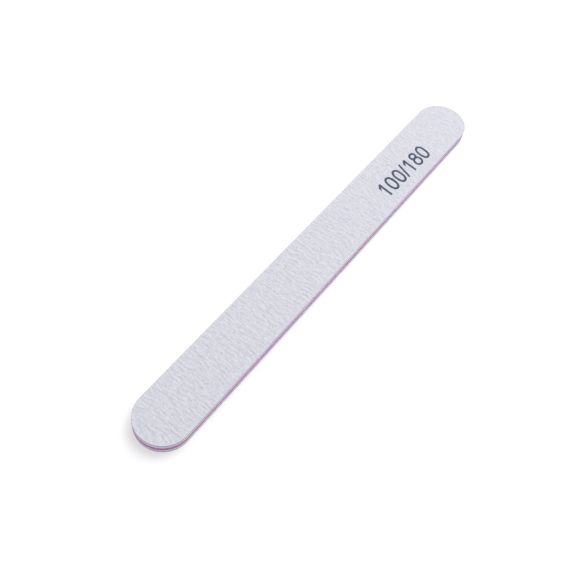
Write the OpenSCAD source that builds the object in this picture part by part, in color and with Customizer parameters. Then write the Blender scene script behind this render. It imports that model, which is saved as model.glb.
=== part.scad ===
// Straight emery board: a stiff plastic core between two foam pads, with an abrasive sheet
// bonded to each face. All eleven layers are cut in one stroke, so they share one outline.
// The board lies flat: X runs along it, Y across it, and Z = 0 is the face it rests on.

/* [Board] */
// Length over both round ends
board_length = 178; // [80:1:240]
// Width across the straight sides
board_width = 19; // [12:0.5:32]

/* [Layers] */
// Thickness of the plastic core
core_thickness = 1.3; // [0.6:0.1:2.4]
// Thickness of each foam pad
foam_thickness = 0.95; // [0.5:0.05:1.6]
// Thickness of each film of adhesive
adhesive_thickness = 0.06; // [0.04:0.01:0.14]
// Thickness of each backing paper
paper_thickness = 0.35; // [0.2:0.05:0.6]
// Thickness of the coarse coat, on the upper face
coarse_coat_thickness = 0.32; // [0.24:0.02:0.6]
// Thickness of the fine coat, on the lower face
fine_coat_thickness = 0.26; // [0.2:0.02:0.5]

/* [Cut edge] */
// How far the cut edge of a foam pad draws in at half its height
foam_draw_in = 0.12; // [0.04:0.02:0.3]
// How far each film of adhesive stops short of the cut edge
adhesive_setback = 0.08; // [0:0.02:0.3]
// Width of the worn rim round each abrasive face
rim_wear = 0.14; // [0.06:0.02:0.18]

/* [Zebra ripple] */
// Distance along the board from one ripple to the next
ripple_pitch = 1.4; // [1.4:0.1:3]
// Share of the pitch that is flat land
land_share = 0.4; // [0.2:0.05:0.6]
// Greatest depth of a valley between two lands
valley_depth = 0.1; // [0.02:0.01:0.12]
// How far a ripple strays along the board
ripple_sway = 0.2; // [0:0.05:0.2]

/* [Hidden] */

// Facets of a full turn at the round ends
end_facets = 128;

// Rows of points across each ripple, how far round an end the ripples go, and the tip beyond
rows = 4;
ripple_share = 0.75;
tip_lines = 8;
tip_turn = 87;

// Half width and half length of the straight part between the round ends
end_radius = board_width / 2;
straight_half = board_length / 2 - end_radius;

// Height of the underside of each layer, counted up from the resting face
z_lower_paper = fine_coat_thickness;
z_lower_paper_adhesive = z_lower_paper + paper_thickness;
z_lower_foam = z_lower_paper_adhesive + adhesive_thickness;
z_lower_core_adhesive = z_lower_foam + foam_thickness;
z_core = z_lower_core_adhesive + adhesive_thickness;
z_upper_core_adhesive = z_core + core_thickness;
z_upper_foam = z_upper_core_adhesive + adhesive_thickness;
z_upper_paper_adhesive = z_upper_foam + foam_thickness;
z_upper_paper = z_upper_paper_adhesive + adhesive_thickness;
z_coarse_coat = z_upper_paper + paper_thickness;

// Sweeps a half section round the outline: X of the section is the distance from the
// centre line and Y its height
module sweep_outline() {
    for (turn = [0, 180])
        rotate([0, 0, turn])
            translate([straight_half, 0, 0])
                rotate([0, 0, -90])
                    rotate_extrude(angle = 180, $fn = end_facets)
                        children();
    rotate([90, 0, 90])
        linear_extrude(height = 2 * straight_half, center = true) {
            children();
            mirror([1, 0])
                children();
        }
}

// A flat layer with a straight cut edge
module flat_layer(height, thickness, setback = 0) {
    translate([0, 0, height])
        sweep_outline()
            square([end_radius - setback, thickness]);
}

// A foam pad: the die squeezes the foam, so its cut edge springs back hollow
module foam_pad(height) {
    hollow_radius = (foam_thickness * foam_thickness / 4 + foam_draw_in * foam_draw_in) / (2 * foam_draw_in);
    translate([0, 0, height])
        sweep_outline()
            difference() {
                square([end_radius, foam_thickness]);
                translate([end_radius - foam_draw_in + hollow_radius, foam_thickness / 2])
                    circle(r = hollow_radius, $fn = end_facets);
            }
}

// A steady scatter between 0 and 1 for a ripple and a row
function scatter(ripple, row) =
    let (wave = sin(ripple * 97.3 + row * 41.7) * 43.7)
    wave - floor(wave);

// Lines that cross the board, each with its place along it, its ripple and its part: 0 and 1
// are the edges of a land, 2 is the keel of the valley after it, 3 is the worn tip. The land
// of ripple 0 lies on the middle of the board.
side_count = floor((straight_half + ripple_share * end_radius) / ripple_pitch - 0.5);
part_places = [-land_share / 2, land_share / 2, 1 / 2];
ripple_lines = [for (ripple = [-side_count : side_count], part = [0 : 2])
                   [ripple_pitch * (ripple + part_places[part]), ripple, part]];

// Lines of a tip, from the last line of the ripples to the end of the outline
function tip_lines_from(start) =
    let (start_turn = asin(max(0, start - straight_half) / end_radius))
    [for (k = [1 : tip_lines])
        [straight_half + end_radius * sin(start_turn + (tip_turn - start_turn) * k / tip_lines),
         0, k == tip_lines ? 3 : 0]];

high_tip = tip_lines_from(ripple_pitch * (side_count + 1 / 2));
low_tip = tip_lines_from(ripple_pitch * (side_count + land_share / 2));
lines = concat([for (k = [tip_lines - 1 : -1 : 0]) [-low_tip[k][0], 0, low_tip[k][2]]],
               ripple_lines, high_tip);

// Half the width of the board at a distance x from its middle
function half_width_at(x) =
    let (past = max(0, abs(x) - straight_half))
    sqrt(end_radius * end_radius - past * past);

// How far a ripple strays along the board, the same for a point of one of its lines, and how
// far that point lies below the lands
function land_stray(ripple, row) = ripple == 0 ? 0 : ripple_sway * (2 * scatter(ripple, row) - 1);
function stray(line, row) =
    line[2] == 2 ? (land_stray(line[1], row) + land_stray(line[1] + 1, row)) / 2 : land_stray(line[1], row);
function drop(line, row) =
    line[2] == 3 ? rim_wear : line[2] == 2 ? valley_depth * (0.25 + 0.75 * scatter(row, line[1])) : 0;

// Half the width of the face inside its worn rim
function inner_half_at(x) =
    let (half = half_width_at(x))
    half - min(rim_wear, half / 2);

// Points of one line of the working face, from edge to edge: a worn rim at each end
function face_line(line, thickness) =
    concat([[line[0], -half_width_at(line[0]), thickness - rim_wear]],
           [for (row = [0 : rows])
               let (x = line[0] + stray(line, row))
               [x, inner_half_at(x) * (2 * row / rows - 1), thickness - drop(line, row)]],
           [[line[0], half_width_at(line[0]), thickness - rim_wear]]);

// A coat of grain and resin that dried into short wavy ripples across the board, on a flat back
module abrasive_coat(thickness) {
    m = rows + 3;
    n = len(lines);
    face = [for (line = lines) each face_line(line, thickness)];
    near = [for (line = lines) [line[0], -half_width_at(line[0]), 0]];
    far = [for (line = lines) [line[0], half_width_at(line[0]), 0]];
    last = (n - 1) * m;
    low = n * m;
    high = low + n;
    polyhedron(
        points = concat(face, near, far),
        faces = concat(
            [for (i = [0 : n - 2], j = [0 : m - 2]) each
                let (a = i * m + j)
                [[a, a + 1, a + m], [a + 1, a + m + 1, a + m]]],
            [for (i = [0 : n - 2]) each
                [[i * m, (i + 1) * m, low + i + 1, low + i],
                 [(i + 1) * m + m - 1, i * m + m - 1, high + i, high + i + 1],
                 [low + i, low + i + 1, high + i + 1, high + i]]],
            [for (j = [0 : m - 2]) each [[low, j + 1, j], [low + n - 1, last + j, last + j + 1]]],
            [[low, high, m - 1], [low + n - 1, last + m - 1, high + n - 1]]));
}

module fine_coat() {
    color("#a3a3b2")
        translate([0, 0, fine_coat_thickness])
            rotate([180, 0, 0])
                abrasive_coat(fine_coat_thickness);
}

module lower_paper() {
    color("#7fa0ac")
        flat_layer(z_lower_paper, paper_thickness);
}

module lower_paper_adhesive() {
    color("#efe9da")
        flat_layer(z_lower_paper_adhesive, adhesive_thickness, adhesive_setback);
}

module lower_foam_pad() {
    color("#f4eff6")
        foam_pad(z_lower_foam);
}

module lower_core_adhesive() {
    color("#efe9da")
        flat_layer(z_lower_core_adhesive, adhesive_thickness, adhesive_setback);
}

module plastic_core() {
    color("#c64fae")
        flat_layer(z_core, core_thickness);
}

module upper_core_adhesive() {
    color("#efe9da")
        flat_layer(z_upper_core_adhesive, adhesive_thickness, adhesive_setback);
}

module upper_foam_pad() {
    color("#f4eff6")
        foam_pad(z_upper_foam);
}

module upper_paper_adhesive() {
    color("#efe9da")
        flat_layer(z_upper_paper_adhesive, adhesive_thickness, adhesive_setback);
}

module upper_paper() {
    color("#7fa0ac")
        flat_layer(z_upper_paper, paper_thickness);
}

module coarse_coat() {
    color("#a9a9b8")
        translate([0, 0, z_coarse_coat])
            abrasive_coat(coarse_coat_thickness);
}

fine_coat();
lower_paper();
lower_paper_adhesive();
lower_foam_pad();
lower_core_adhesive();
plastic_core();
upper_core_adhesive();
upper_foam_pad();
upper_paper_adhesive();
upper_paper();
coarse_coat();
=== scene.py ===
import math

import bpy
from mathutils import Matrix, Quaternion, Vector, noise


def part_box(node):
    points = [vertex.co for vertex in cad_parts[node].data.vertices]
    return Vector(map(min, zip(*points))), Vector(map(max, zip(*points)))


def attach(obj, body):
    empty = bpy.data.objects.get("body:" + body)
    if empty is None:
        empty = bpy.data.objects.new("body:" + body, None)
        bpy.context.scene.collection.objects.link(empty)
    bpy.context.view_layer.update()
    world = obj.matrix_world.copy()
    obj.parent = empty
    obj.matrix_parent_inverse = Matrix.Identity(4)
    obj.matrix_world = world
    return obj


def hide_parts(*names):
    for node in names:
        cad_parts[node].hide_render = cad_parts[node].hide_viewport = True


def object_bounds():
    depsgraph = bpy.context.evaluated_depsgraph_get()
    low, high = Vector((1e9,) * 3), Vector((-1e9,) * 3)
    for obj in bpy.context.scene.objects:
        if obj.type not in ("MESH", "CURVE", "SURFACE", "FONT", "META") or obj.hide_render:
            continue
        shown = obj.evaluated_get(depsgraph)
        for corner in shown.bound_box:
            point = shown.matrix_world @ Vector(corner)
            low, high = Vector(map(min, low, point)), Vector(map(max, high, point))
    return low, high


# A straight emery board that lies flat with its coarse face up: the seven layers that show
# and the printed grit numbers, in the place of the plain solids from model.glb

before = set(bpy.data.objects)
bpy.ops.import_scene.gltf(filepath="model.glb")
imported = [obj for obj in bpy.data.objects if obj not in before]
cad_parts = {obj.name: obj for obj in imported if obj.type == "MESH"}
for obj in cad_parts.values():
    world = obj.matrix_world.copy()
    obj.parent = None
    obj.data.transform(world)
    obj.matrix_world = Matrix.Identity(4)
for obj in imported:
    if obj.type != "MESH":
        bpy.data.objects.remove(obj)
cad_low, cad_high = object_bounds()

# Sizes of the board, in metres
MM = 0.001
HALF_WIDTH = (cad_high.y - cad_low.y) / 2
STRAIGHT_HALF = (cad_high.x - cad_low.x) / 2 - HALF_WIDTH
TOP = cad_high.z

# Points nearer to each other than this are one, and slivers thinner than this are closed up
SAME_PLACE = 0.001 * MM
SLIVER = 0.0001 * MM

# Meshes: step along the board, rows across half a face, steps round a quarter of the
# outline's end, and rows up the cut edge of each kind of layer
STEP_ALONG = 0.25 * MM
ROWS_HALF_FACE = 34
STEPS_QUARTER_TURN = 60
PAPER_ROWS = 3
FOAM_ROWS = 9
CORE_ROWS = 10

# Zebra relief: the coat dries into short wavy ripples that run across the board, a long
# wave with a finer one on it. Depth on each face, size of a ripple along and across the
# board, its lean, share of each wave, how much finer the second is, and seed of each face
RIPPLE_DEPTH = 0.16 * MM
FINE_RIPPLE_DEPTH = 0.55 * RIPPLE_DEPTH
RIPPLE_CELL = 0.76 * MM
RIPPLE_LENGTH = 2.9 * MM
RIPPLE_LEAN = 0.01
LONG_WAVE = 1.15
FINE_WAVE = 0.45
FINER_ALONG = 2.1
FINER_ACROSS = 2.3
COARSE_SEED = 12.0
FINE_SEED = 41.0

# The ripples wander by nearly a cell over some millimetres, and lose more than half of their
# relief towards the high end
WANDER = 0.9
WANDER_ALONG = 9 * MM
WANDER_ACROSS = 5 * MM
SMOOTHER_FROM = 50 * MM
SMOOTHER_OVER = 25 * MM
SMOOTHER_BY = 0.6

# Cut edge of a coat: its rounded rim, the start of the wall below it, how far in from it the
# ripples reach their full depth, and the share of the depth that they have at the edge
WORN_RIM = 0.14 * MM
RIM_WALL = 1.2 * WORN_RIM
RIM_FADE = 0.5 * MM
EDGE_RIPPLE = 0.25

# Crumbs that break off the cut edge: how far in, how wide, how flat, how deep and how many
CRUMBLY = 0.7 * WORN_RIM
CRUMB_SIZE = 0.5 * MM
CRUMB_FLATNESS = 3
CRUMB_DEPTH = 0.03 * MM
CRUMB_SHARE = 0.6

# Grain as drawn on each face
COARSE_GRAIN = 0.34 * MM
FINE_GRAIN = 0.26 * MM

# Colours of each coat: its soap where thin and where thick, painted shade for the ripple
# valleys, a bare grain, painted shade on the sloping rim, and the crushed cut edge
COARSE_COLOURS = ("#dadae2", "#dcdde4", "#d5d5dd", "#8f93a0", "#aeafba", "#bcbec7")
FINE_COLOURS = ("#d6d6e0", "#d8d9e1", "#d2d2dc", "#9a9daa", "#b1b2bd", "#bec0c9")

# Grit numbers: heights of straight and round figures, widths of the strokes of a figure
# and of the slash, middle of the line of print on the face, its turn, its slant, and how far
# the ink stands up from the coat, which lies that much lower to leave it room
FIGURE_HEIGHT = 6.15 * MM
ROUND_HEIGHT = 6.5 * MM
STROKE = 0.94 * MM
SLASH_STROKE = 0.8 * MM
PRINT_MIDDLE = (49.62 * MM, -2.34 * MM)
PRINT_TURN = math.radians(-0.95)
PRINT_SLANT = math.tan(math.radians(5.0))
INK_FILM = 0.012 * MM

# Shapes of the figures: reach of the one's flag and how deep its root is buried, width of
# the zero, width and height of each bowl of the eight, and lean of the slash
FLAG_REACH = 1.6 * MM
FLAG_OVERLAP = 0.05 * MM
ZERO_WIDTH = 3.96 * MM
EIGHT_UPPER = (3.5 * MM, 3.28 * MM)
EIGHT_LOWER = (3.95 * MM, 4.16 * MM)
SLASH_LEAN = 0.72 * MM

# Squareness of the ovals: 2 is an ellipse, and more is boxier
ZERO_SQUARENESS = 2.4
EIGHT_SQUARENESS = 2.1

# Studio: the floor of a light table just below the board, strength of the even surround,
# and place, size and watts of one large soft light past the high end
FLOOR_SIZE = 4.0
FLOOR_DROP = 0.02 * MM
SURROUND = 0.5
KEY_PLACE = Vector((0.64, -0.05, 0.97))
KEY_SIZE = 1.0
KEY_POWER = 12.3

# Camera: where it stands, what it looks at, how far it is rolled, and its lens and sensor
# in millimetres
CAMERA_PLACE = Vector((-147.77, -73.42, 231.46)) * MM
CAMERA_AIM = Vector((-18.30, -0.08, 2.36)) * MM
CAMERA_ROLL = math.radians(9.32)
CAMERA_LENS = 51.17
CAMERA_SENSOR = 36


# Working on one piece

def deselect():
    """Nothing selected, out of edit mode."""
    if bpy.context.object and bpy.context.object.mode != "OBJECT":
        bpy.ops.object.mode_set(mode="OBJECT")
    bpy.ops.object.select_all(action="DESELECT")


def take(piece):
    """That piece alone is selected and active."""
    deselect()
    bpy.context.view_layer.objects.active = piece
    piece.select_set(True)


def edit(piece, kind="VERT", action="SELECT"):
    """Edit mode on one piece, with all of its mesh selected, or none of it."""
    take(piece)
    bpy.ops.object.mode_set(mode="EDIT")
    bpy.ops.mesh.select_mode(type=kind)
    bpy.ops.mesh.select_all(action=action)


def pick(piece, kind, wanted):
    """Edit mode on one piece, with those points, edges or faces selected that pass the test."""
    edit(piece, kind, "DESELECT")
    bpy.ops.object.mode_set(mode="OBJECT")
    mesh = piece.data
    parts = {"VERT": mesh.vertices, "EDGE": mesh.edges, "FACE": mesh.polygons}[kind]
    for part in parts:
        part.select = wanted(part)
    bpy.ops.object.mode_set(mode="EDIT")


def apply_modifier(piece, kind, **settings):
    """Adds a modifier with its settings and applies it."""
    deselect()
    bpy.context.view_layer.objects.active = piece
    modifier = piece.modifiers.new(kind.lower(), kind)
    for name, value in settings.items():
        setattr(modifier, name, value)
    bpy.ops.object.modifier_apply(modifier=modifier.name)


def combine(piece, other, operation):
    """Unites or intersects two closed pieces, and uses up the second."""
    apply_modifier(piece, "BOOLEAN", operation=operation, solver="MANIFOLD", object=other)
    take(other)
    bpy.ops.object.delete()


def outward(piece):
    """Turns every face of a closed piece outwards."""
    edit(piece)
    bpy.ops.mesh.normals_make_consistent(inside=False)
    bpy.ops.object.mode_set(mode="OBJECT")


def smooth(piece, degrees):
    """Smooth shading, but for edges sharper than an angle."""
    take(piece)
    bpy.ops.object.shade_smooth_by_angle(angle=math.radians(degrees))


def move_points(piece, shift):
    """Moves each point by what shift(place) gives, as a hand would sculpt it."""
    for point in piece.data.vertices:
        point.co += shift(point.co.copy())
    piece.data.update()


# The outline of the board, shared by all its layers

def to_edge(p):
    """Distance from a point to the cut edge of the board, positive inside."""
    past = max(0.0, abs(p.x) - STRAIGHT_HALF)
    return HALF_WIDTH - math.hypot(past, p.y)


def edge_direction(p):
    """Direction straight out of the cut edge nearest to a point."""
    past = math.copysign(max(0.0, abs(p.x) - STRAIGHT_HALF), p.x)
    return Vector((past, p.y, 0)).normalized()


def swept_sheet(name, rows, width, place, tilt=0.0):
    """A sheet that follows the outline. A grid lies over the straight part of one quarter, is
    spun round to the middle line at the end, and is mirrored over both middles."""
    deselect()
    bpy.ops.mesh.primitive_grid_add(
        x_subdivisions=round(STRAIGHT_HALF / STEP_ALONG), y_subdivisions=rows,
        size=1, location=place, rotation=(tilt, 0, 0),
    )
    sheet = bpy.context.object
    sheet.name = sheet.data.name = name
    sheet.scale = (STRAIGHT_HALF, width, 1)
    bpy.ops.object.transform_apply(location=True, rotation=True, scale=True)

    def starts_the_end(point):
        return abs(point.co.x - STRAIGHT_HALF) < SAME_PLACE and point.co.y <= SAME_PLACE

    pick(sheet, "VERT", starts_the_end)
    bpy.ops.mesh.spin(
        steps=STEPS_QUARTER_TURN, angle=-math.pi / 2, center=(STRAIGHT_HALF, 0, 0),
        axis=(0, 0, 1),
    )
    bpy.ops.mesh.select_all(action="SELECT")
    bpy.ops.mesh.remove_doubles(threshold=SAME_PLACE)
    bpy.ops.object.mode_set(mode="OBJECT")
    apply_modifier(
        sheet, "MIRROR", use_axis=(True, True, False), use_clip=True,
        use_mirror_merge=True, merge_threshold=SAME_PLACE,
    )
    return sheet


# Abrasive coats

def ripple(p, seed):
    """Relief of the zebra ripple between 0, on a land, and 1, in a valley. What is added to
    the seed keeps the three noises apart."""
    bend = WANDER * noise.noise(Vector((p.x / WANDER_ALONG, p.y / WANDER_ACROSS, seed + 3.1)))
    along = (p.x - RIPPLE_LEAN * p.y) / RIPPLE_CELL + bend
    across = p.y / RIPPLE_LENGTH
    long_wave = noise.noise(Vector((along, across, seed)))
    fine_wave = noise.noise(
        Vector((along * FINER_ALONG, across * FINER_ACROSS, seed + 7.7))
    )
    relief = LONG_WAVE * long_wave + FINE_WAVE * fine_wave
    strength = 1 - SMOOTHER_BY * min(1.0, max(0.0, (p.x - SMOOTHER_FROM) / SMOOTHER_OVER))
    return min(1.0, max(0.0, 0.5 - strength * relief))


def abrasive_coat(name, node, face_up, seed, depth):
    """A coat with its working face rippled, its rim worn and its cut edge crumbly. It is made
    from height 0 down, then set in its place, upside down where its face is below."""
    low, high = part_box(node)
    thickness = high.z - low.z
    middle = (STRAIGHT_HALF / 2, -HALF_WIDTH / 2, 0)
    coat = swept_sheet(name, ROWS_HALF_FACE, HALF_WIDTH, middle)
    edit(coat, "EDGE")
    bpy.ops.mesh.region_to_loop()
    for drop in (RIM_WALL, thickness - RIM_WALL):
        bpy.ops.mesh.extrude_region_move(TRANSFORM_OT_translate={"value": (0, 0, -drop)})
    bpy.ops.mesh.edge_face_add()
    bpy.ops.object.mode_set(mode="OBJECT")
    outward(coat)

    def on_rim(edge):
        ends = [coat.data.vertices[i].co for i in edge.vertices]
        return all(abs(p.z) < SAME_PLACE and to_edge(p) < 10 * SAME_PLACE for p in ends)

    pick(coat, "EDGE", on_rim)
    bpy.ops.mesh.bevel(offset=WORN_RIM, segments=3, profile=0.5, affect="EDGES")
    bpy.ops.object.mode_set(mode="OBJECT")

    def wear(p):
        inside = to_edge(p)
        shift = Vector((0, 0, 0))
        if p.z > -WORN_RIM - SAME_PLACE:
            fade = min(1.0, max(0.0, inside / (WORN_RIM + RIM_FADE)))
            share = EDGE_RIPPLE + (1 - EDGE_RIPPLE) * fade
            shift.z = -INK_FILM - depth * ripple(p, seed) * share
        if inside < CRUMBLY:
            grit = Vector((p.x, p.y, p.z * CRUMB_FLATNESS)) / CRUMB_SIZE
            crumble = max(0.0, CRUMB_SHARE + noise.noise(grit + Vector((0, 0, seed))))
            shift -= edge_direction(p) * (CRUMB_DEPTH * crumble)
        return shift

    move_points(coat, wear)
    if face_up:
        move_points(coat, lambda p: Vector((0, 0, high.z)))
    else:
        move_points(coat, lambda p: Vector((0, 0, low.z - 2 * p.z)))
        outward(coat)
    smooth(coat, 50)
    return coat


# Layers between the coats

def cut_layer(name, node, rows, edge_shape):
    """A layer between the coats. Its cut edge is swept round the outline in rows, and each
    point of it is drawn in by what edge_shape(share of the height, place) gives."""
    low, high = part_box(node)
    thickness = high.z - low.z
    middle = (STRAIGHT_HALF / 2, -HALF_WIDTH, (low.z + high.z) / 2)
    layer = swept_sheet(name, rows, thickness, middle, tilt=math.pi / 2)
    for face_height in (low.z, high.z):
        pick(layer, "VERT", lambda point: abs(point.co.z - face_height) < SAME_PLACE)
        bpy.ops.mesh.edge_face_add()
    outward(layer)
    move_points(
        layer,
        lambda p: edge_direction(p) * -edge_shape((p.z - low.z) / thickness, p),
    )
    smooth(layer, 40)
    return layer


def paper_edge(share, p):
    """Die-cut paper: nearly straight, a little furred."""
    draw_in, fur, fibre = 0.015 * MM, 0.012 * MM, 0.4 * MM
    return draw_in + fur * noise.noise(p / fibre)


def foam_edge(share, p):
    """Die-cut foam: springs back hollow between its two bonded faces, with open cells."""
    draw_in, hollow, pit, cell = 0.02 * MM, 0.1 * MM, 0.05 * MM, 0.32 * MM
    # From 0 at the bonded faces to 1 halfway between them
    from_faces = 4 * share * (1 - share)
    opened = 0.5 + 0.5 * noise.noise(p / cell)
    return draw_in + hollow * from_faces + pit * opened * min(1.0, 1.5 * from_faces)


def core_edge(share, p):
    """Sheared sheet plastic: a smooth shoulder over the top tenth of its height, and below it
    upright tears that deepen towards the foot."""
    draw_in, shoulder, tear, tear_width = 0.012 * MM, 0.03 * MM, 0.03 * MM, 0.35 * MM
    tear_tallness = 6
    torn = abs(noise.noise(Vector((p.x, p.y, p.z / tear_tallness)) / tear_width))
    rounded = max(0.0, share - 0.9) / 0.1
    return draw_in + tear * torn * (1 - share) + shoulder * rounded


# Making a material

def colour(hex_value):
    """An sRGB hex colour as linear RGBA."""
    channels = [int(hex_value[i : i + 2], 16) / 255 for i in (1, 3, 5)]
    linear = [c / 12.92 if c <= 0.04045 else ((c + 0.055) / 1.055) ** 2.4 for c in channels]
    return (*linear, 1.0)


def fill(node, inputs):
    """Sets or links inputs of a node. A colour mix has its share in input 0, its two colours
    in 6 and 7, and its result in output 2."""
    for name, value in inputs.items():
        if isinstance(value, bpy.types.NodeSocket):
            node.id_data.links.new(value, node.inputs[name])
        else:
            node.inputs[name].default_value = value


def add(tree, kind, inputs=None, **settings):
    """Adds a node with its settings, and sets or links its inputs."""
    node = tree.nodes.new("ShaderNode" + kind)
    for name, value in settings.items():
        setattr(node, name, value)
    fill(node, inputs or {})
    return node


def set_stops(ramp, *stops):
    """The two stops of a colour ramp: place and colour of each."""
    for element, (position, hex_value) in zip(ramp.color_ramp.elements, stops):
        element.position = position
        element.color = colour(hex_value)


def new_material(name):
    """An empty material with its output, its shader and the object's own coordinates."""
    material = bpy.data.materials.new(name)
    material.use_nodes = True
    tree = material.node_tree
    tree.nodes.clear()
    shader = add(tree, "BsdfPrincipled")
    output = add(tree, "OutputMaterial", {"Surface": shader.outputs["BSDF"]})
    output.is_active_output = True
    place = add(tree, "TexCoord").outputs["Object"]
    return material, tree, shader, place


def clothe(piece, material):
    """One material on the whole piece."""
    piece.data.materials.clear()
    piece.data.materials.append(material)


# The materials

def stearated_abrasive(name, colours, grain_size, valley_height, land_height):
    """Abrasive grain bonded in resin under a dry soap coat: matt and chalky. The ripple valleys
    get a painted shade, single dark grains break through, the sloping rim gets a painted shade,
    and the cut edge below it is bare."""
    thin_soap, thick_soap, valley_shade, bare_grain, painted_rim_shade, crushed_edge = (
        colour(hex_value) for hex_value in colours
    )
    material, tree, shader, place = new_material(name)
    # Clouds about 14 mm across, where the soap coat dried thicker or thinner
    clouds = add(tree, "TexNoise", {"Vector": place, "Scale": 1 / (14 * MM), "Detail": 4.0})
    tint = add(
        tree, "Mix", {0: clouds.outputs["Fac"], 6: thin_soap, 7: thick_soap},
        data_type="RGBA",
    )
    # Painted shade in the ripple valleys: the colour darkens a little towards the bottom of each
    # valley
    height = add(tree, "SeparateXYZ", {"Vector": place})
    valley = add(
        tree, "MapRange",
        {"Value": height.outputs["Z"], "From Min": land_height, "From Max": valley_height},
    )
    valley_shaded = add(
        tree, "Mix", {0: valley.outputs["Result"], 6: tint.outputs[2], 7: valley_shade},
        data_type="RGBA",
    )
    # Grain, drawn coarser than the real particles so that it shows at this distance. Every
    # grain tints its soap by up to 0.3, and one in fourteen has a bare middle, by 0.3 more
    grains = add(tree, "TexVoronoi", {"Vector": place, "Scale": 1 / grain_size})
    kind = add(tree, "SeparateColor", {"Color": grains.outputs["Color"]})
    bare = add(tree, "Math", {0: kind.outputs["Red"], 1: 0.93}, operation="GREATER_THAN")
    middle = add(
        tree, "Math", {0: grains.outputs["Distance"], 1: 0.38}, operation="LESS_THAN"
    )
    shows = add(tree, "Math", {0: bare.outputs[0], 1: middle.outputs[0]}, operation="MULTIPLY")
    tinted = add(
        tree, "MapRange", {"Value": kind.outputs["Green"], "To Min": 0.0, "To Max": 0.3}
    )
    darkened = add(
        tree, "Math", {0: shows.outputs[0], 1: 0.3, 2: tinted.outputs["Result"]},
        operation="MULTIPLY_ADD",
    )
    speckled = add(
        tree, "Mix", {0: darkened.outputs[0], 6: valley_shaded.outputs[2], 7: bare_grain},
        data_type="RGBA",
    )
    # Painted shade on the sloping rim, where the face turns down, and below the rim the die
    # has crushed grain and resin
    facing = add(tree, "SeparateXYZ", {"Vector": add(tree, "NewGeometry").outputs["Normal"]})
    upright = add(tree, "Math", {0: facing.outputs["Z"]}, operation="ABSOLUTE")
    # The slope of the rounded rim, where its shade is painted
    worn = add(
        tree, "MapRange", {"Value": upright.outputs[0], "From Min": 0.93, "From Max": 0.8}
    )
    rim_shaded = add(
        tree, "Mix", {0: worn.outputs["Result"], 6: speckled.outputs[2], 7: painted_rim_shade},
        data_type="RGBA",
    )
    crushed = add(
        tree, "MapRange", {"Value": upright.outputs[0], "From Min": 0.5, "From Max": 0.3}
    )
    cut = add(
        tree, "Mix", {0: crushed.outputs["Result"], 6: rim_shaded.outputs[2], 7: crushed_edge},
        data_type="RGBA",
    )
    # Rough soap crystals over the grain
    crystals = add(
        tree, "TexNoise", {"Vector": place, "Scale": 1 / (0.4 * grain_size), "Detail": 2.0}
    )
    lumps = add(
        tree, "Math", {0: grains.outputs["Distance"], 1: crystals.outputs["Fac"]},
        operation="ADD",
    )
    bump = add(
        tree, "Bump", {"Height": lumps.outputs[0], "Distance": 0.02 * MM, "Strength": 0.5}
    )
    fill(shader, {
        "Base Color": cut.outputs[2],
        "Normal": bump.outputs["Normal"],
        "Roughness": 0.88,
        "IOR": 1.5,
    })
    return material


def saturated_paper(name):
    """Latex-saturated kraft backing paper, teal all through, seen on its die-cut edge where
    the pressed plies of fibre lie level."""
    material, tree, shader, place = new_material(name)
    # Plies 0.06 mm thick that run along the edge, broken about every 1.5 mm
    stretched = add(
        tree, "Mapping",
        {"Vector": place, "Scale": (1 / (1.5 * MM), 1 / (1.5 * MM), 1 / (0.06 * MM))},
    )
    plies = add(
        tree, "TexNoise", {"Vector": stretched.outputs["Vector"], "Scale": 1.0, "Detail": 3.0}
    )
    fibre = add(tree, "ValToRGB", {"Fac": plies.outputs["Fac"]})
    set_stops(fibre, (0.3, "#829dab"), (0.7, "#abc1cc"))
    bump = add(
        tree, "Bump", {"Height": plies.outputs["Fac"], "Distance": 0.01 * MM, "Strength": 0.6}
    )
    fill(shader, {
        "Base Color": fibre.outputs["Color"],
        "Normal": bump.outputs["Normal"],
        "Roughness": 0.72,
        "IOR": 1.5,
    })
    return material


def closed_cell_foam(name):
    """White EVA foam sheet, extruded and die-cut, so its edge is a wall of cut cells. It lets
    some light in, and its pink tint is painted light: the glow of the magenta core it is pressed
    on."""
    material, tree, shader, place = new_material(name)
    # Cells of 0.2 to 0.3 mm
    cells = add(tree, "TexVoronoi", {"Vector": place, "Scale": 1 / (0.26 * MM)})
    wall = add(tree, "ValToRGB", {"Fac": cells.outputs["Distance"]})
    # Both stops are pink: painted glow of the core's magenta light on white foam
    set_stops(wall, (0.1, "#c9abca"), (0.55, "#ead2ea"))
    bump = add(
        tree, "Bump",
        {"Height": cells.outputs["Distance"], "Distance": 0.05 * MM, "Strength": 0.5},
    )
    fill(shader, {
        "Base Color": wall.outputs["Color"],
        "Normal": bump.outputs["Normal"],
        "Roughness": 0.8,
        "IOR": 1.49,
        "Subsurface Weight": 0.3,
        "Subsurface Radius": (0.5 * MM, 0.4 * MM, 0.45 * MM),
        "Subsurface Scale": 1.0,
    })
    return material


def sheared_polystyrene(name):
    """Magenta polystyrene sheet, coloured through and cut with a steel-rule die that leaves
    fine upright drag lines, duller and glossier by turns."""
    material, tree, shader, place = new_material(name)
    # Drag lines 0.12 mm apart that run up the cut
    stretched = add(
        tree, "Mapping",
        {"Vector": place, "Scale": (1 / (0.12 * MM), 1 / (0.12 * MM), 1 / (1.6 * MM))},
    )
    drag = add(
        tree, "TexNoise", {"Vector": stretched.outputs["Vector"], "Scale": 1.0, "Detail": 2.0}
    )
    shade = add(tree, "ValToRGB", {"Fac": drag.outputs["Fac"]})
    set_stops(shade, (0.25, "#8a4082"), (0.75, "#a35a97"))
    rough = add(
        tree, "MapRange", {"Value": drag.outputs["Fac"], "To Min": 0.3, "To Max": 0.55}
    )
    bump = add(
        tree, "Bump", {"Height": drag.outputs["Fac"], "Distance": 0.02 * MM, "Strength": 0.5}
    )
    fill(shader, {
        "Base Color": shade.outputs["Color"],
        "Normal": bump.outputs["Normal"],
        "Roughness": rough.outputs["Result"],
        "IOR": 1.59,
    })
    return material


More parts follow.
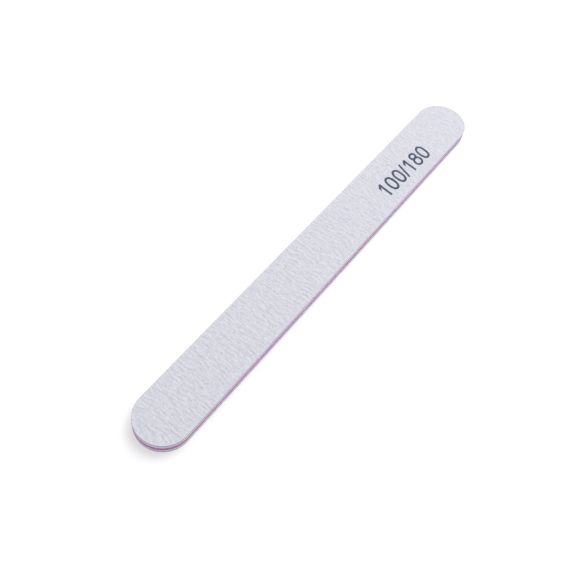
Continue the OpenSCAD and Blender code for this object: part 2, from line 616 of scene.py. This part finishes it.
def adhesive_film(name):
    """Acrylic transfer adhesive, tacky and milky, with dust caught on its cut edge."""
    material, tree, shader, place = new_material(name)
    # Dust and squeezed-out beads 0.5 mm apart
    dust = add(tree, "TexNoise", {"Vector": place, "Scale": 1 / (0.5 * MM), "Detail": 3.0})
    film = add(
        tree, "Mix", {0: dust.outputs["Fac"], 6: colour("#b9b0b4"), 7: colour("#dcd5da")},
        data_type="RGBA",
    )
    rough = add(
        tree, "MapRange", {"Value": dust.outputs["Fac"], "To Min": 0.25, "To Max": 0.6}
    )
    fill(shader, {
        "Base Color": film.outputs[2],
        "Roughness": rough.outputs["Result"],
        "IOR": 1.47,
    })
    return material


def printed_ink(name):
    """Navy solvent ink, printed in one pass: it soaks into the soap coat, so pale crystals
    show through where the film is thin."""
    material, tree, shader, place = new_material(name)
    # Breaks in the film, drawn 0.35 mm across so that they show
    breaks = add(tree, "TexNoise", {"Vector": place, "Scale": 1 / (0.35 * MM), "Detail": 3.0})
    film = add(tree, "ValToRGB", {"Fac": breaks.outputs["Fac"]})
    set_stops(film, (0.35, "#1a2f4a"), (0.72, "#3f5370"))
    fill(shader, {"Base Color": film.outputs["Color"], "Roughness": 0.6, "IOR": 1.5})
    return material


def studio_floor(name):
    """Matt opal acrylic of a light table, lit a little from below, faintly uneven."""
    material, tree, shader, place = new_material(name)
    # Unevenness of the sheet, 40 mm across
    soft = add(tree, "TexNoise", {"Vector": place, "Scale": 1 / (40 * MM), "Detail": 2.0})
    opal = add(
        tree, "Mix", {0: soft.outputs["Fac"], 6: colour("#c5c5c7"), 7: colour("#c9c9ca")},
        data_type="RGBA",
    )
    fill(shader, {
        "Base Color": opal.outputs[2],
        "Roughness": 0.9,
        "Specular IOR Level": 0.2,
        "Emission Color": colour("#ffffff"),
        "Emission Strength": 0.45,
    })
    return material


# Grit numbers

def place_print(piece, middle):
    """From a figure drawn about its own middle to its place on the face: leaned, turned
    with the line of print and lifted to the face."""
    turn = Matrix.Rotation(PRINT_TURN, 3, "Z")
    start = Vector((*PRINT_MIDDLE, TOP))

    def to_face(p):
        leaned = Vector((p.x + p.y * PRINT_SLANT + middle, p.y, p.z))
        return start + turn @ leaned - p

    move_points(piece, to_face)


def ring_stroke(width, height, rise, squareness):
    """A closed stroke round an oval of an outer width and height, its middle raised by rise."""
    deselect()
    bpy.ops.mesh.primitive_circle_add(vertices=72, radius=1)
    ring = bpy.context.object
    half_width = (width - STROKE) / 2
    half_height = (height - STROKE) / 2

    def to_oval(p):
        x = math.copysign(abs(p.x) ** (2 / squareness), p.x) * half_width
        y = math.copysign(abs(p.y) ** (2 / squareness), p.y) * half_height
        return Vector((x, y + rise, 0)) - p

    move_points(ring, to_oval)
    bpy.ops.object.convert(target="CURVE")
    ring = bpy.context.object
    ring.data.bevel_depth = STROKE / 2
    ring.data.bevel_resolution = 5
    bpy.ops.object.convert(target="MESH")
    return bpy.context.object


def straight_stroke(start, end, stroke=STROKE, across=1):
    """A straight stroke between two points of its centreline, its ends cut level, or plumb
    where across is 0."""
    a, b = Vector((*start, 0)), Vector((*end, 0))
    run = b - a
    deselect()
    bpy.ops.mesh.primitive_cylinder_add(
        vertices=32, radius=stroke / 2, depth=run.length, location=(a + b) / 2,
        rotation=run.to_track_quat("Z", "Y").to_euler(),
    )
    bar = bpy.context.object
    bpy.ops.object.transform_apply(location=True, rotation=True, scale=True)

    def cut_flat(p):
        tip = a if (p - a).length < (p - b).length else b
        return run * ((tip[across] - p[across]) / run[across])

    move_points(bar, cut_flat)
    return bar


def figure_one():
    """A plain one: stem and slanted flag, no foot. The flag comes down from the top of the
    stem at 45 degrees, and its root is buried in the stem."""
    top = FIGURE_HEIGHT / 2
    root = STROKE / 2 - FLAG_OVERLAP
    flag_top = top - STROKE * (math.sqrt(0.5) - 0.5)
    stem = straight_stroke((0, -top), (0, top))
    flag = straight_stroke(
        (-FLAG_REACH, flag_top - FLAG_REACH), (-root, flag_top - root), across=0
    )
    return stem, flag


def figure_zero():
    """A plain zero."""
    return (ring_stroke(ZERO_WIDTH, ROUND_HEIGHT, 0, ZERO_SQUARENESS),)


def figure_eight():
    """A plain eight, its upper bowl a little the smaller."""
    rise = (ROUND_HEIGHT - EIGHT_UPPER[1]) / 2
    fall = (EIGHT_LOWER[1] - ROUND_HEIGHT) / 2
    return (
        ring_stroke(*EIGHT_UPPER, rise, EIGHT_SQUARENESS),
        ring_stroke(*EIGHT_LOWER, fall, EIGHT_SQUARENESS),
    )


def figure_slash():
    """The bar between the two grits."""
    top = ROUND_HEIGHT / 2
    return (straight_stroke((-SLASH_LEAN, -top), (SLASH_LEAN, top), SLASH_STROKE),)


# The line of print, each figure with its middle along the line, and half the length and
# height of the patch of the face that the print is cut from
PRINT_LINE = (
    (figure_one, -12.35 * MM),
    (figure_zero, -8.23 * MM),
    (figure_zero, -3.50 * MM),
    (figure_slash, -0.14 * MM),
    (figure_one, 3.53 * MM),
    (figure_eight, 7.7 * MM),
    (figure_zero, 12.22 * MM),
)
PRINT_REACH = (15.5 * MM, ROUND_HEIGHT / 2 + 0.8 * MM)


def grit_numerals(name, coat):
    """The two grits printed on the coarse face. A copy of the face under the print gets the
    thickness of the ink, and the strokes cut the figures out of it, so they follow the
    ripples."""
    strokes = []
    for figure, middle in PRINT_LINE:
        for stroke in figure():
            place_print(stroke, middle)
            outward(stroke)
            strokes.append(stroke)

    def under_print(face):
        place = face.center
        return (
            face.normal.z > 0.5
            and abs(place.x - PRINT_MIDDLE[0]) < PRINT_REACH[0]
            and abs(place.y - PRINT_MIDDLE[1]) < PRINT_REACH[1]
        )

    pick(coat, "FACE", under_print)
    bpy.ops.mesh.duplicate()
    bpy.ops.mesh.separate(type="SELECTED")
    bpy.ops.object.mode_set(mode="OBJECT")
    film = next(piece for piece in bpy.context.selected_objects if piece is not coat)
    film.name = film.data.name = name
    apply_modifier(film, "SOLIDIFY", thickness=2 * INK_FILM, offset=0)
    apply_modifier(film, "TRIANGULATE")
    for stroke in strokes[1:]:
        combine(strokes[0], stroke, "UNION")
    combine(film, strokes[0], "INTERSECT")
    edit(film)
    bpy.ops.mesh.remove_doubles(threshold=SLIVER)
    bpy.ops.mesh.dissolve_degenerate(threshold=SLIVER)
    bpy.ops.mesh.quads_convert_to_tris()
    bpy.ops.object.mode_set(mode="OBJECT")
    return film


# The board, from its lower face up: each piece, the CAD node it stands for and its finish
stack = (
    (abrasive_coat("fine_abrasive", "fine_coat", False, FINE_SEED, FINE_RIPPLE_DEPTH),
     "fine_coat", "fine_abrasive"),
    (cut_layer("lower_backing_paper", "lower_paper", PAPER_ROWS, paper_edge),
     "lower_paper", "backing_paper"),
    (cut_layer("lower_foam_cushion", "lower_foam_pad", FOAM_ROWS, foam_edge),
     "lower_foam_pad", "foam"),
    (cut_layer("core_sheet", "plastic_core", CORE_ROWS, core_edge),
     "plastic_core", "core"),
    (cut_layer("upper_foam_cushion", "upper_foam_pad", FOAM_ROWS, foam_edge),
     "upper_foam_pad", "foam"),
    (cut_layer("upper_backing_paper", "upper_paper", PAPER_ROWS, paper_edge),
     "upper_paper", "backing_paper"),
    (abrasive_coat("coarse_abrasive", "coarse_coat", True, COARSE_SEED, RIPPLE_DEPTH),
     "coarse_coat", "coarse_abrasive"),
)
coarse_piece = stack[-1][0]
numerals = grit_numerals("grit_numerals", coarse_piece)

# Finishes
fine_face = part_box("fine_coat")[0].z
finishes = {
    "coarse_abrasive": stearated_abrasive(
        "stearate-coated aluminium oxide, coarse", COARSE_COLOURS, COARSE_GRAIN,
        TOP - RIPPLE_DEPTH, TOP,
    ),
    "fine_abrasive": stearated_abrasive(
        "stearate-coated aluminium oxide, fine", FINE_COLOURS, FINE_GRAIN,
        fine_face + FINE_RIPPLE_DEPTH, fine_face,
    ),
    "backing_paper": saturated_paper("latex-saturated paper, teal"),
    "foam": closed_cell_foam("die-cut EVA foam, white"),
    "core": sheared_polystyrene("sheared polystyrene, magenta"),
}
for piece, node, slot_name in stack:
    clothe(piece, finishes[slot_name])
    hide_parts(node)
    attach(piece, "root")
clothe(numerals, printed_ink("solvent ink, navy"))
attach(numerals, "root")

film_finish = adhesive_film("acrylic transfer adhesive")
for node in (
    "lower_paper_adhesive", "lower_core_adhesive", "upper_core_adhesive", "upper_paper_adhesive",
):
    clothe(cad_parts[node], film_finish)

# Studio
deselect()
bpy.ops.mesh.primitive_plane_add(size=FLOOR_SIZE, location=(0, 0, -FLOOR_DROP))
floor = bpy.context.object
floor.name = "floor"
clothe(floor, studio_floor("opal acrylic, lit from below"))

world = bpy.data.worlds.new("surround")
bpy.context.scene.world = world
world.use_nodes = True
fill(world.node_tree.nodes["Background"], {"Color": colour("#ffffff"), "Strength": SURROUND})

bpy.ops.object.light_add(type="AREA", location=KEY_PLACE)
key = bpy.context.object
key.name = "key"
key.rotation_euler = (-KEY_PLACE).to_track_quat("-Z", "Y").to_euler()
key.data.size = KEY_SIZE
key.data.energy = KEY_POWER

# Camera
bpy.ops.object.camera_add(location=CAMERA_PLACE)
camera = bpy.context.object
camera.name = "camera"
camera.rotation_mode = "QUATERNION"
facing_aim = (CAMERA_AIM - CAMERA_PLACE).to_track_quat("-Z", "Y")
camera.rotation_quaternion = facing_aim @ Quaternion((0, 0, 1), CAMERA_ROLL)
camera.data.lens = CAMERA_LENS
camera.data.sensor_width = CAMERA_SENSOR
camera.data.clip_start = 0.01
camera.data.clip_end = 20
bpy.context.scene.camera = camera
bpy.context.scene.view_settings.view_transform = "Standard"
bpy.context.scene.view_settings.look = "None"
